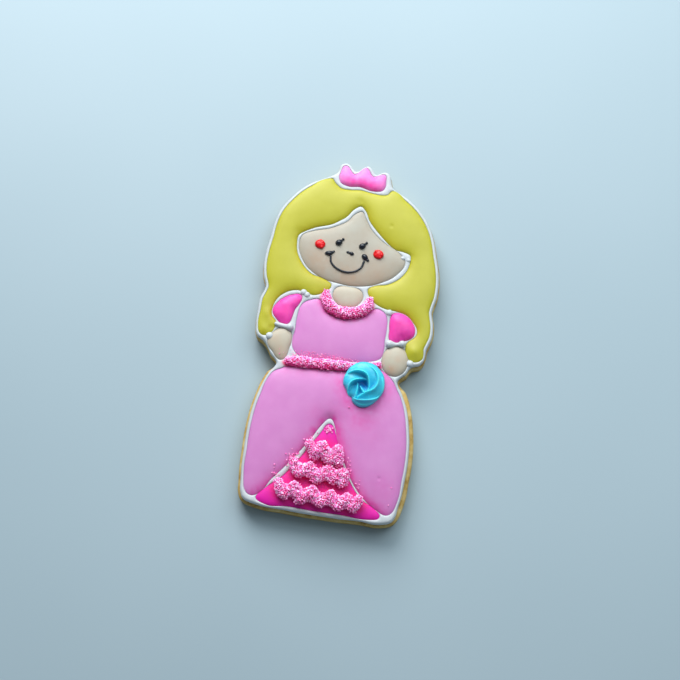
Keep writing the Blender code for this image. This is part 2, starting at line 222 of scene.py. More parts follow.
def inside(points, ring):
    after = np.roll(ring, -1, axis=0)
    rise = np.where(after[:, 1] == ring[:, 1], 1e-12, after[:, 1] - ring[:, 1])
    slope = (after[:, 0] - ring[:, 0]) / rise
    found = np.zeros(len(points), bool)
    boxed = ((points > ring.min(axis=0)) & (points < ring.max(axis=0))).all(axis=1)
    chosen = np.flatnonzero(boxed)
    for part in blocks(len(chosen)):
        x, y = points[chosen[part], 0, None], points[chosen[part], 1, None]
        crosses = (ring[:, 1] > y) != (after[:, 1] > y)
        left = x < ring[:, 0] + (y - ring[:, 1]) * slope
        found[chosen[part]] = (crosses & left).sum(axis=1) % 2 == 1
    return found


def inward(ring):
    """The unit direction into an anticlockwise ring at each of its points."""
    along = np.roll(ring, -1, axis=0) - np.roll(ring, 1, axis=0)
    along /= np.linalg.norm(along, axis=1)[:, None] + 1e-12
    return np.stack([-along[:, 1], along[:, 0]], axis=1)


def spot(points, node, across, along, radius):
    """How close each point is to a place by the middle of a CAD node: 1 there, and less over a radius."""
    gap = ((points - near(node, across, along)) ** 2).sum(axis=1)
    return np.exp(-gap / radius ** 2)


def moved_in(ring, insets, least=0.93):
    """A ring's points at each inset, but for those that end up closer than this share of it."""
    rows = []
    for inset in insets:
        moved = ring + inward(ring) * inset
        rows.append(moved[inside(moved, ring) & (distance(moved, ring) > inset * least)])
    return rows


def grid_over(ring, step):
    """Points in a triangular grid over a ring's box, nudged off their places."""
    low, high = ring.min(axis=0), ring.max(axis=0)
    rows = np.arange(low[1], high[1], step * math.sqrt(0.75))
    x, y = np.meshgrid(np.arange(low[0], high[0], step), rows)
    x = x + (np.arange(len(rows)) % 2)[:, None] * step / 2
    points = np.stack([x.ravel(), y.ravel()], axis=1)
    return points + random.uniform(-NUDGE, NUDGE, points.shape) * step


# ---- meshes

def triangulated(rings, loose):
    """A flat mesh over closed rings, with loose points in it."""
    corners = []
    edges = []
    for ring in rings:
        first = len(corners)
        corners.extend(ring)
        edges.extend((first + i, first + (i + 1) % len(ring)) for i in range(len(ring)))
    corners.extend(loose)
    made = geometry.delaunay_2d_cdt([Vector(point) for point in corners], edges, [], 1, 1e-4)
    return np.array([point[:] for point in made[0]]), np.array([list(face) for face in made[2]])


def sheet(ring, insets, step, gap):
    """A flat mesh over a ring, of rings of points at the insets and a grid that keeps a gap from it."""
    loose = moved_in(ring, insets)
    grid = grid_over(ring, step)
    grid = grid[inside(grid, ring)]
    loose.append(grid[distance(grid, ring) > gap])
    return triangulated([ring], np.concatenate(loose))


def rim_of(faces):
    """The loop of points round the outside of a flat mesh, anticlockwise."""
    ahead = {side for face in faces for side in sides(face)}
    links = {a: b for a, b in ahead if (b, a) not in ahead}
    start = max(links)
    loop = [start]
    while links[loop[-1]] != start:
        loop.append(links[loop[-1]])
    return loop


def wall(upper, lower):
    """Faces between two rings of as many points."""
    count = len(upper)
    return [(upper[i], lower[i], lower[(i + 1) % count], upper[(i + 1) % count]) for i in range(count)]


def with_sides(points, faces, rows):
    """Adds sides under a sheet's rim, one row for each (inset, height). Also returns the last row."""
    upper = rim_of(faces)
    ring = points[upper, :2]
    into = inward(ring)
    made = [tuple(face) for face in faces.tolist()]
    everything = [points]
    count = len(points)
    for inset, height in rows:
        everything.append(np.column_stack([ring + into * inset, np.full(len(ring), height)]))
        lower = list(range(count, count + len(ring)))
        made += wall(upper, lower)
        upper = lower
        count += len(ring)
    return np.concatenate(everything), made, upper


def closed_down(points, faces, rows):
    """Adds sides under a sheet's rim, one row for each (inset, height), and an underside."""
    everything, made, lowest = with_sides(points, faces, rows)
    ring = everything[lowest, :2]
    for a, b, c in geometry.tessellate_polygon([[Vector((x, y, 0)) for x, y in ring]]):
        if signed_area(ring[[a, b, c]]) > 0:
            b, c = c, b
        made.append((lowest[a], lowest[b], lowest[c]))
    return everything, made


def solve(apply, wanted, weights):
    """Conjugate gradients for a symmetric set of equations."""
    found = np.zeros(len(wanted))
    left = wanted.copy()
    eased = left / weights
    way = eased.copy()
    size = left @ eased
    goal = size * SOLVER_GOAL
    for _ in range(SOLVER_STEPS):
        pushed = apply(way)
        step = size / (way @ pushed)
        found += step * way
        left -= step * pushed
        eased = left / weights
        new = left @ eased
        if new < goal:
            break
        way = eased + new / size * way
        size = new
    return found


def settled(points, faces, fixed, reach):
    """How icing lies: 0 at the fixed points, rising to 1 further in, over about this reach."""
    count = len(points)
    held = np.zeros(count, bool)
    held[fixed] = True
    weight = np.zeros(count)
    pairs = []
    strengths = []
    corners = points[faces]
    double = np.abs(np.cross(corners[:, 1] - corners[:, 0], corners[:, 2] - corners[:, 0]))
    double = np.maximum(double, 1e-6)  # twice each triangle's area
    for k in range(3):
        a, b, c = np.roll(faces, -k, axis=1).T
        weight += np.bincount(a, double / 6, count)
        arms = ((points[b] - points[a]) * (points[c] - points[a])).sum(axis=1)
        pairs.append(np.stack([b, c], axis=1))
        strengths.append(arms / double / 2)
    pairs = np.concatenate(pairs)
    strength = np.clip(np.concatenate(strengths), -LINK_LIMIT, LINK_LIMIT) * reach ** 2
    i, j = pairs[:, 0], pairs[:, 1]
    diagonal = weight + np.bincount(i, strength, count) + np.bincount(j, strength, count)
    diagonal = np.maximum(diagonal, 1e-9)

    def apply(u):
        flow = strength * (u[i] - u[j])
        out = weight * u + np.bincount(i, flow, count) - np.bincount(j, flow, count)
        return np.where(held, u * diagonal, out)

    return np.clip(solve(apply, np.where(held, 0.0, weight), diagonal), 0, 1)


def waves(points, *parts):
    """Smooth random unevenness: the sum of some of (height, size across, offset of the noise)."""
    total = 0
    for height, size, off in parts:
        made = [noise.noise(Vector((x / size + off, y / size, off))) for x, y in points[:, :2]]
        total = total + height * np.array(made)
    return total


def linked(name, data):
    """An object of this mesh, light or camera, in the scene."""
    made = bpy.data.objects.new(name, data)
    bpy.context.scene.collection.objects.link(made)
    return made


def piece(name, points, faces, look, nodes=(), smooth=True, shade_and_dye=None):
    """Makes one piece of the cookie from points in millimetres. The share of painted shade and dye is of
    the first points.
    """
    mesh = bpy.data.meshes.new(name)
    mesh.from_pydata((np.asarray(points) * MM).tolist(), [], faces)
    mesh.validate()
    if shade_and_dye is not None:
        share = np.zeros(len(mesh.vertices), np.float32)
        share[:len(shade_and_dye)] = shade_and_dye
        mesh.attributes.new("shade_and_dye", "FLOAT", "POINT").data.foreach_set("value", share)
    mesh.polygons.foreach_set("use_smooth", [smooth] * len(mesh.polygons))
    mesh.materials.append(look)
    made = linked(name, mesh)
    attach(made, "root")
    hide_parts(*nodes)


# ---- materials

def tune(node, settings):
    for name, value in settings.items():
        node.inputs[name].default_value = value


def speckle(tree, scale, detail, roughness):
    """Noise over the object's own coordinates."""
    place = tree.nodes.new("ShaderNodeTexCoord")
    texture = tree.nodes.new("ShaderNodeTexNoise")
    tune(texture, {"Scale": scale, "Detail": detail, "Roughness": roughness})
    tree.links.new(place.outputs["Object"], texture.inputs["Vector"])
    return texture.outputs["Fac"]


def ramp(tree, source, stops):
    made = tree.nodes.new("ShaderNodeValToRGB")
    while len(made.color_ramp.elements) < len(stops):
        made.color_ramp.elements.new(0.5)
    for element, (place, colour) in zip(made.color_ramp.elements, stops):
        element.position = place
        element.color = (*colour, 1)
    tree.links.new(source, made.inputs["Fac"])
    return made.outputs["Color"]


def material(name, cloud, stops, settings, shade_and_dye_colour=None, skin=None):
    """A material coloured by a cloud of noise: its scale, detail and roughness.

    Another colour is mixed in as far as the mesh's own attribute says: mostly painted shade, and in places
    dye and sugar dust. The skin is a bump: the scale, detail and roughness of its own noise, then its
    strength and depth.
    """
    made = bpy.data.materials.new(name)
    made.use_nodes = True
    tree = made.node_tree
    shader = tree.nodes["Principled BSDF"]
    shown = ramp(tree, speckle(tree, *cloud), stops)
    # The second colour is mostly painted shade, and in places dye and sugar dust.
    if shade_and_dye_colour:
        amount = tree.nodes.new("ShaderNodeAttribute")
        amount.attribute_name = "shade_and_dye"
        mix = tree.nodes.new("ShaderNodeMixRGB")
        tune(mix, {"Color2": (*shade_and_dye_colour, 1)})
        tree.links.new(amount.outputs["Fac"], mix.inputs["Fac"])
        tree.links.new(shown, mix.inputs["Color1"])
        shown = mix.outputs["Color"]
    tree.links.new(shown, shader.inputs["Base Color"])
    tune(shader, settings)
    if skin:
        bump = tree.nodes.new("ShaderNodeBump")
        tune(bump, {"Strength": skin[3], "Distance": skin[4] * MM})
        tree.links.new(speckle(tree, *skin[:3]), bump.inputs["Height"])
        tree.links.new(bump.outputs["Normal"], shader.inputs["Normal"])
    return made


def icing(name, colour, deeper, roughness=0.5, inner=0.35, gloss=0.15, shade_and_dye_colour=None):
    """Dried royal icing: satin, faintly cloudy, with a fine pitted skin, and darker in places by painted
    shade and dye.
    """
    return material(name, (190, 3, 0.5), [(0.32, deeper), (0.68, colour)], {
        "Roughness": roughness, "Specular IOR Level": 0.4, "Coat Weight": gloss, "Coat Roughness": 0.4,
        "Subsurface Weight": inner, "Subsurface Radius": [0.2 + share for share in colour],
        "Subsurface Scale": 1.1 * MM,
    }, shade_and_dye_colour, (2600, 3, 0.6, 0.25, 0.04))


# Baked dough is sandy, and toasted in spots.
BAKED = material(
    "baked_dough", (260, 5, 0.65),
    [(0.3, (0.34, 0.18, 0.045)), (0.47, (0.58, 0.39, 0.12)), (0.68, (0.72, 0.56, 0.25))],
    {"Roughness": 0.85, "Specular IOR Level": 0.25}, skin=(1500, 5, 0.7, 0.6, 0.15),
)
# The last colour of each icing is mixed in by the mesh's attribute. It is painted shade in creases, under
# the trims, on slopes away from the lights and in the rosette's pit, with pale painted highlights left on
# the rosette's crests. In places it is pink dye and sugar dust.
WHITE = icing("white_royal", (0.57, 0.61, 0.63), (0.52, 0.57, 0.59), shade_and_dye_colour=(1.0, 0.02, 0.22))
YELLOW = icing("yellow_royal", (0.49, 0.475, 0.03), (0.455, 0.44, 0.02), shade_and_dye_colour=(0.46, 0.38, 0.002))
SKIN = icing("skin_royal", (0.42, 0.405, 0.335), (0.405, 0.36, 0.285), shade_and_dye_colour=(0.5, 0.27, 0.15))
PALE_SKIN = icing("pale_skin_royal", (0.51, 0.475, 0.375), (0.49, 0.42, 0.32), shade_and_dye_colour=(0.55, 0.3, 0.17))
PINK = icing("pink_royal", (0.645, 0.25, 0.56), (0.615, 0.22, 0.53), shade_and_dye_colour=(0.68, 0.03, 0.32))
MAGENTA = icing("magenta_royal", (0.95, 0.085, 0.46), (0.9, 0.06, 0.42), shade_and_dye_colour=(0.62, 0.02, 0.3))
DEEP_MAGENTA = icing(
    "deep_magenta_royal", (0.76, 0.006, 0.38), (0.7, 0.004, 0.34), 0.6,
    gloss=0.0, shade_and_dye_colour=(0.8, 0.003, 0.15),
)
PALE_MAGENTA = icing("pale_magenta_royal", (0.9, 0.27, 0.66), (0.87, 0.24, 0.62), shade_and_dye_colour=(1.0, 0.03, 0.38))
BLUE = icing("blue_royal", (0.1, 0.88, 0.97), (0.07, 0.82, 0.93), 0.4, gloss=0.1, shade_and_dye_colour=(0.0, 0.14, 0.44))
RED = icing("red_royal", (0.86, 0.004, 0.01), (0.66, 0.002, 0.006), 0.35, inner=0.1, gloss=0.1)
BLACK = icing("black_royal", (0.01, 0.016, 0.026), (0.006, 0.01, 0.018), 0.22, inner=0.0, gloss=0.25)
SUGARED = icing("sugared_royal", (1.0, 0.04, 0.26), (0.98, 0.025, 0.2), 0.6, inner=0.8, gloss=0.0)
# Each grain of sugar is bright, from near white to pink, and redder by painted shade low on a trim and on
# its side away from the lights. Loose grains are a little redder all over.
SUGAR = material(
    "pink_sugar", (1300, 1, 0.5),
    [(0.35, (1.0, 0.15, 0.52)), (0.5, (1.0, 0.35, 0.75)), (0.65, (1.0, 0.66, 0.92))],
    {
        "Roughness": 0.22, "Specular IOR Level": 0.5, "Sheen Weight": 0.6, "Sheen Roughness": 0.4,
        "Sheen Tint": (1.0, 0.45, 0.75, 1),
    },
    (1.0, 0.015, 0.26), (5200, 2, 0.5, 0.15, 0.03),
)


# ---- flooded areas

# CAD node: (material, slot, height at the edge, rise at the edge, crown, reach of the crown)
FLOODS = {
    "hair": (YELLOW, "icing_yellow", 8.05, 0.55, 1.3, 4.0),
    "face": (SKIN, "icing_skin", 8.05, 0.5, 0.95, 3.6),
    "neck": (PALE_SKIN, "icing_skin", 8.05, 0.55, 0.7, 2.2),
    "bodice": (PINK, "icing_pink", 8.05, 0.45, 1.0, 3.6),
    "skirt": (PINK, "icing_pink", 8.05, 0.45, 1.45, 4.0),
    "underskirt": (DEEP_MAGENTA, "icing_magenta", 7.95, 0.5, 0.5, 1.6),
    "sleeve_left": (MAGENTA, "icing_magenta", 8.0, 0.8, 1.35, 2.0),
    "sleeve_right": (MAGENTA, "icing_magenta", 8.0, 0.8, 1.35, 2.0),
    "hand_left": (PALE_SKIN, "icing_skin", 8.0, 0.75, 0.9, 2.0),
    "hand_right": (PALE_SKIN, "icing_skin", 8.0, 0.8, 1.0, 2.0),
    "crown": (PALE_MAGENTA, "icing_magenta", 8.05, 0.6, 1.0, 1.1),
}
# In these tables, by CAD node, the first two of each row are across and along from the node's middle.
# Swellings, and pits where below nought: (across, along, radius, height)
SWELLINGS = {
    "hair": [
        (10.5, 15.4, 0.45, -0.22), (-19.7, 8.6, 1.3, -0.2), (-1.2, 22.3, 1.2, -0.2),
        (24.3, -25.6, 2.0, 0.7), (-25.0, -20.5, 1.8, 0.45), (-23.0, -25.2, 1.0, -0.35),
        (-25.6, -26.3, 1.5, 0.3),
    ],
    "skirt": [(18.2, -11.7, 0.4, -0.25), (-0.9, 4.6, 1.6, -0.5), (21.5, 10.5, 0.35, -0.12)],
    "sleeve_left": [(3.8, 4.7, 0.5, -0.9), (2.3, 0.6, 0.9, -0.35), (-0.8, 1.6, 1.5, 0.3)],
    "sleeve_right": [(0.6, -3.0, 0.9, -0.35), (-2.2, 2.4, 1.4, 0.3)],
}
# Where icing ran further over a line: (across, along, radius, which way and how far)
PUSHES = {
    "underskirt": [(-0.5, 9.5, 5.0, (0.75, 0.0))],
    "skirt": [(2.5, -1.0, 4.0, (-0.35, 0.0))],
}
# Darker colour beside other nodes, as painted shade in creases and under the trims, and as pink dye by the
# belt: (from which other node, reach beyond the white line, greatest share)
SHADE_AND_DYE_RUNS = {
    "skirt": [("underskirt", 1.5, 0.75), ("belt", 1.4, 0.4), ("rosette", 2.0, 0.6)],
    "bodice": [("collar", 0.4, 0.5)],
    "underskirt": [("ruffle_upper", 1.2, 0.6), ("ruffle_middle", 1.2, 0.7), ("ruffle_lower", 0.9, 0.6)],
    "hair": [
        ("face", 0.9, 0.6), ("sleeve_left", 0.9, 0.6), ("sleeve_right", 0.9, 0.4), ("bodice", 0.9, 0.4),
    ],
}
# Spots of painted shade, and of sugar dust: (across, along, radius, greatest share)
SHADE_AND_DUST_SPOTS = {
    "skirt": [
        (-2.4, 3.3, 1.9, 0.95), (0.7, 5.2, 1.2, 0.9), (-5.0, 0.2, 1.6, 0.8), (9.5, 7.0, 5.0, 0.5),
        (-4.5, 5.5, 3.5, 0.25), (20.0, -15.5, 5.5, 0.2), (1.0, 6.5, 4.5, 0.3), (13.0, 2.0, 5.0, 0.12),
    ],
    "hair": [(-23.5, -25.0, 0.9, 0.8), (-25.5, -28.0, 1.5, 0.6)],
    "crown": [(3.4, -2.8, 3.0, 1.0), (-3.6, -1.8, 2.4, 0.9), (0.2, -2.3, 2.4, 1.0)],
    "hand_right": [(-0.6, -3.4, 1.9, 0.6), (0.9, 0.3, 1.2, 0.3)],
    "hand_left": [(-1.6, 1.2, 1.3, 0.2), (0.6, -2.6, 1.5, 0.2)],
    "face": [(1.0, -11.5, 6.0, 0.45), (-10.5, -6.0, 5.5, 0.35), (9.0, -8.0, 5.0, 0.35)],
    "sleeve_left": [(2.4, 0.4, 1.2, 0.6), (-1.0, -3.2, 1.4, 0.6)],
    "sleeve_right": [(0.8, -1.8, 4.0, 0.95), (2.4, 1.2, 1.2, 0.5)],
}
rings = {}  # each CAD node's outline, spread, which the build below works out first
icing_tops = []  # points on the icing, which loose grains of sugar lie on


def shade_and_dye_on(node, points):
    """How much of each point's colour is the darker one, from 0 to 1: painted shade, and dye and sugar
    dust.
    """
    share = np.zeros(len(points))
    for source, reach, most in SHADE_AND_DYE_RUNS.get(node, ()):
        from_points = rings[source] if source in rings else welded(source)[0][:, :2]
        gap = np.linalg.norm(points - from_points[nearest(points, from_points)], axis=1)
        share = np.maximum(share, most * np.exp(-np.clip(gap - LINE_WIDTH, 0, None) / reach))
    for across, along, radius, most in SHADE_AND_DUST_SPOTS.get(node, ()):
        share = np.maximum(share, most * spot(points, node, across, along, radius))
    return share * (0.8 + waves(points, SHADE_AND_DYE_WAVES))


def flood(node):
    look, slot, start, rise, crown, reach = FLOODS[node]
    points, faces = sheet(rings[node], FLOOD_INSETS, FLOOD_GRID, FLOOD_GAP)
    rim = rim_of(faces)
    edge = settled(points, faces, rim, EDGE_REACH)
    z = start + rise * np.sqrt(edge) + crown * settled(points, faces, rim, reach)
    z += edge * waves(points, *FLOOD_WAVES)
    for across, along, radius, height in SWELLINGS.get(node, ()):
        z += height * edge * spot(points, node, across, along, radius)
    icing_tops.append(np.column_stack([points, z]))
    everything, made = closed_down(icing_tops[-1], faces, FLOOD_SIDE)
    # Painted shade and dye: this share darkens the flood beside other pieces and in its spots.
    piece(node + "_icing", everything, made, look, [node], shade_and_dye=shade_and_dye_on(node, points))


# ---- white icing

# Round ends and joins of the piped white lines: (CAD node, across, along, radius, height)
KNOBS = [("face", -18.4, 0.8, 1.0, 0.35), ("hand_right", 5.1, 0.2, 1.1, 0.5)]
# Piped ropes of sugared icing. Each is cut across by rays from a point: (CAD node, that point across
# and along from the node's middle, how many cuts). The belt's point is far off, so its cuts are even.
ROPES = {"collar": ("neck", (0.1, 1.5), 34), "belt": ("belt", (0, 400), 46)}
FIRST_CUT, LAST_CUT = 0.02, 0.98
ROPE_SHADE_WIDTH = 0.5  # beyond a rope, where the painted shade is even
ROPE_SHADE_REACH = 0.3
MOST_ROPE_SHADE = 0.92


def rope_cuts(node):
    """The cuts across a rope: the middle, half the width, the lowest and the highest of each."""
    source, moved, count = ROPES[node]
    far = middle(source) + moved
    points, faces = welded(node)
    rel = points[:, :2] - far
    angle = np.arctan2(rel[:, 1], rel[:, 0])
    turn = angle - angle.mean()
    reach = np.linalg.norm(rel, axis=1)
    edges = np.concatenate([faces[:, [0, 1]], faces[:, [1, 2]], faces[:, [2, 0]]])
    low, high = turn.min(), turn.max()
    cuts = []
    for share in np.linspace(FIRST_CUT, LAST_CUT, count):
        here = low + (high - low) * share
        ends = turn[edges] - here
        crossed = (ends[:, 0] < 0) != (ends[:, 1] < 0)
        (a, b), ends = edges[crossed].T, ends[crossed]
        part = ends[:, 0] / (ends[:, 0] - ends[:, 1])
        out = reach[a] * (1 - part) + reach[b] * part
        z = points[a, 2] * (1 - part) + points[b, 2] * part
        way = np.array([math.cos(here + angle.mean()), math.sin(here + angle.mean())])
        centre = far + way * (out.min() + out.max()) / 2
        cuts.append((centre, (out.max() - out.min()) / 2, z.min(), z.max()))
    return cuts


def shade_below_ropes(points):
    """Painted shade on the white icing just below the collar and the belt, on their side away from the
    lights.
    """
    share = np.zeros(len(points))
    for node in ROPES:
        for centre, half, *_ in rope_cuts(node):
            gap = points - centre
            size = np.linalg.norm(gap, axis=1) + 1e-9
            # The shade is painted on the side of each rope that faces away from the lights.
            below = np.clip(0.2 - 1.3 * gap[:, 1] / size, 0, 1)
            beyond = np.clip(size - half - ROPE_SHADE_WIDTH, 0, None)
            share = np.maximum(share, below * np.exp(-beyond / ROPE_SHADE_REACH))
    return MOST_ROPE_SHADE * share


def white_lines():
    """The piped white outline and joins: round beads between the floods, pockets under them."""
    outer = rings["white_icing"]
    holes = [rings[node] for node in FLOODS]
    loose = [outer + inward(outer) * inset for inset in BORDER_INSETS]
    for hole in holes:
        loose += [hole - inward(hole) * inset for inset in BORDER_INSETS]
    loose.append(grid_over(outer, BORDER_GRID))
    loose = np.concatenate(loose)
    loose = loose[inside(loose, outer)]
    for hole in holes:
        loose = loose[~inside(loose, hole)]
    gaps = np.min([distance(loose, ring) for ring in [outer, *holes]], axis=0)
    loose = [loose[gaps > BORDER_GAP]]
    for hole in holes:
        loose += moved_in(hole, [POCKET_INSET], 0.9)
    points, faces = triangulated([outer, *holes], np.concatenate(loose))
    in_pocket = np.zeros(len(points), bool)
    to_outer = distance(points, outer)
    on_edge = to_outer < ON_LINE
    for hole in holes:
        at_hole = distance(points, hole) < ON_LINE
        on_edge |= at_hole
        in_pocket |= inside(points, hole) & ~at_hole
    bead = settled(points, faces, on_edge | in_pocket, BEAD_REACH)
    drop = BORDER_DROP * (1 - np.clip(to_outer / DROP_WIDTH, 0, 1)) ** 2
    z = GROOVE + BEAD_HEIGHT * np.sqrt(bead) - drop
    z += bead * waves(points, *BORDER_WAVES)
    for node, across, along, radius, height in KNOBS:
        z += bead * height * spot(points, node, across, along, radius)
    icing_tops.append(np.column_stack([points, z])[~in_pocket])
    z[in_pocket] = POCKET_FLOOR
    everything, made = closed_down(np.column_stack([points, z]), faces, BORDER_SIDE)
    rope_shade = shade_below_ropes(everything[:, :2])
    piece("white_border", everything, made, WHITE, ["white_icing"], shade_and_dye=rope_shade)


# ---- baked base

def rounding(gap, radius):
    """How far a rounded edge falls away at this distance from the outline."""
    share = 1 - np.clip(gap / radius, 0, 1)
    return radius * (1 - np.sqrt(1 - share ** 2))


def crumbs(edge, level):
    """Unevenness of the baked side at this height, at points along the outline."""
    coarse = np.array([noise.noise(Vector((x / 1.5, y / 1.5, level / 1.1))) for x, y in edge])
    fine = np.array([noise.noise(Vector((x, y, level)) / 0.6) for x, y in edge])
    return coarse + 0.6 * fine


def cookie():
    low, high = heights("cookie_base")
    points, faces = sheet(rings["cookie_base"], BASE_INSETS, BASE_GRID, BASE_GAP)
    gap = distance(points, rings["cookie_base"])
    rough = waves(points, *BASE_WAVES)
    calm = 1 - 0.5 * (1 - np.clip(gap / TOP_ROUND, 0, 1))
    top = high - rounding(gap, TOP_ROUND) - 0.05 * (1 + rough) * calm
    bottom = low + rounding(gap, BOTTOM_ROUND) + 0.035 * np.abs(rough)
    rim = rim_of(faces)
    rows = []
    for level in np.linspace(high - TOP_ROUND, low + BOTTOM_ROUND, SIDE_ROWS + 2)[1:-1]:
        depth = np.clip(CRUMB_DEPTH * (1 + crumbs(points[rim], level)), 0, 1)
        rows.append((depth[:, None], level))
    everything, made, lowest = with_sides(np.column_stack([points, top]), faces, rows)
    under = (np.arange(len(points)) + len(everything)).tolist()
    made += wall(lowest, [under[i] for i in rim])
    made += [(under[a], under[c], under[b]) for a, b, c in faces]
    everything = np.concatenate([everything, np.column_stack([points, bottom])])
    piece("baked_cookie", everything, made, BAKED, ["cookie_base"])


# ---- lumps and sugar

# The fineness of a lump's skin: (voxel size, rounds of smoothing)
SUGARED_SKIN = (0.25, 1)
STROKE_SKIN = (0.11, 2)
BEAD_SKIN = (0.16, 3)
DAB_SKIN = (0.14, 3)
# Pairs are the least and the most of a random draw, and heights and widths are shares of the CAD's.
THINNEST = 0.9  # radius of a rope
ROPE_WIDTHS = (0.84, 0.99)
ROPE_HEIGHTS = (0.78, 0.9)
RUFFLE_STEP = 0.5  # spacing of balls along a ruffle
RUFFLE_RADII = (1.1, 1.4)
RUFFLE_HEIGHTS = (0.36, 0.42)
MIDDLE_RADIUS = 1.9  # of the balls along a ruffle's middle line
MIDDLE_HEIGHT = 0.38
MIDDLE_WINDOW = 15  # balls that the middle line is averaged over
BLOBS = 4  # small ones round each ball of a ruffle
BLOB_REACHES = (0.5, 1.3)
BLOB_SIZES = (0.32, 0.55)
GRAIN_SPACING = 0.46
GRAIN_SIZES = (0.36, 0.58)
GRAIN_STRETCH = (0.75, 1.2)
STACKED = 0.25  # share of grains with another on top
STACKED_SIZES = (0.26, 0.44)
STACK_HEIGHT = 0.26
STACK_LEAN = 0.12
STRAY_SIZES = (0.35, 0.5)
LOOSE_GAP = 0.5  # between loose grains and the icing's outer edge
LOOSE_DAMP = 0.25
MOST_TRIM_SHADE = 0.9
TRIES = 14  # random places tried for each that could be kept
TUMBLE = 0.35
CHIP = 0.4  # how much of a crystal's corner is broken off
SINK = 0.28  # how much of a crystal is in the icing


def ball(place, height, wide, tall=None, deep=None):
    """A ball at a place in plan: its centre, and its radii across, along and up."""
    return Vector((*place, height)), (wide, deep or wide, tall or wide)


def lump(name, balls, fineness, look, nodes=()):
    """A piece that is one closed skin round overlapping balls. Returns its points and faces."""
    voxel, smoothing = fineness
    shape = bmesh.new()
    for centre, radii in balls:
        place = Matrix.Translation(centre) @ Matrix.Diagonal((*radii, 1))
        bmesh.ops.create_icosphere(shape, subdivisions=2, radius=1, matrix=place)
    mesh = bpy.data.meshes.new("balls")
    shape.to_mesh(mesh)
    shape.free()
    rough = linked("balls", mesh)
    skin = rough.modifiers.new("skin", "REMESH")
    skin.mode = "VOXEL"
    skin.voxel_size = voxel
    ease = rough.modifiers.new("ease", "SMOOTH")
    ease.factor = 0.5
    ease.iterations = smoothing
    graph = bpy.context.evaluated_depsgraph_get()
    merged = bpy.data.meshes.new_from_object(rough.evaluated_get(graph))
    points = np.array([vertex.co[:] for vertex in merged.vertices])
    faces = [tuple(face.vertices) for face in merged.polygons]
    bpy.data.objects.remove(rough, do_unlink=True)
    piece(name, points, faces, look, nodes)
    return points, faces


def rope_balls(node):
    """Balls along a piped rope, a little uneven."""
    balls = []
    for centre, half, low, high in rope_cuts(node):
        half = max(half * random.uniform(*ROPE_WIDTHS), THINNEST)
        foot = low + 0.35
        balls.append(ball(centre, foot, half, (high - foot) * random.uniform(*ROPE_HEIGHTS)))
    return balls


def on_surface(points, faces, spacing, rise):
    """Random places on a mesh, the spacing apart or more, where the way out rises, and that way."""
    triangles = np.array([face[:1] + face[k:k + 2] for face in faces for k in range(1, len(face) - 1)])
    corners = points[triangles]
    normal = np.cross(corners[:, 1] - corners[:, 0], corners[:, 2] - corners[:, 0])
    size = np.linalg.norm(normal, axis=1)
    normal /= size[:, None] + 1e-12
    size = np.where(normal[:, 2] > rise, size, 0)
    wanted = int(size.sum() / 2 / spacing ** 2 * TRIES)
    chosen = random.choice(len(triangles), wanted, p=size / size.sum())
    a, b = random.random_sample((2, wanted))
    flip = a + b > 1
    a, b = np.where(flip, 1 - a, a), np.where(flip, 1 - b, b)
    corners = corners[chosen]
    places = corners[:, 0] + (corners[:, 1] - corners[:, 0]) * a[:, None]
    places += (corners[:, 2] - corners[:, 0]) * b[:, None]
    taken = {}
    kept = []
    for i, place in enumerate(places):
        cell = tuple(np.floor(place / spacing).astype(int))
        close = [
            other
            for dx in (-1, 0, 1) for dy in (-1, 0, 1) for dz in (-1, 0, 1)
            for other in taken.get((cell[0] + dx, cell[1] + dy, cell[2] + dz), ())
        ]
        if all(((places[other] - place) ** 2).sum() > spacing ** 2 for other in close):
            taken.setdefault(cell, []).append(i)
            kept.append(i)
    return places[kept], normal[chosen][kept]


def facing(outs):
    """Rotations that turn one face of each block roughly up and out, each its own way."""
    up = outs + (0, 0, 1.0) + random.normal(size=outs.shape) * TUMBLE
    up /= np.linalg.norm(up, axis=1)[:, None]
    side = np.cross(up, random.normal(size=outs.shape))
    side /= np.linalg.norm(side, axis=1)[:, None]
    return np.stack([side, np.cross(up, side), up], axis=2)


def crystal():
    """A sugar crystal: a block one across with every other corner broken off."""
    shape = bmesh.new()
    bmesh.ops.create_cube(shape, size=1)
    broken = [corner for corner in shape.verts if corner.co.x * corner.co.y * corner.co.z > 0]
    bmesh.ops.bevel(shape, geom=broken, offset=CHIP, segments=1, affect="VERTICES")
    shape.verts.index_update()
    points = np.array([vertex.co[:] for vertex in shape.verts])
    faces = [tuple(vertex.index for vertex in face.verts) for face in shape.faces]
    shape.free()
    return points, faces


def grains(places, outs, sizes):
    """Crystals sunk in a little at these places, each turned and stretched its own way."""
    shape, shape_faces = crystal()
    stretch = random.uniform(*GRAIN_STRETCH, (len(places), 1, 3)) * sizes[:, None, None]
    bodies = np.einsum("nij,nkj->nki", facing(outs), shape[None] * stretch)
    centres = places + outs * (sizes * (0.5 - SINK))[:, None]
    points = (bodies + centres[:, None]).reshape(-1, 3)
    firsts = range(0, len(points), len(shape))
    return points, [tuple(first + k for k in face) for first in firsts for face in shape_faces]


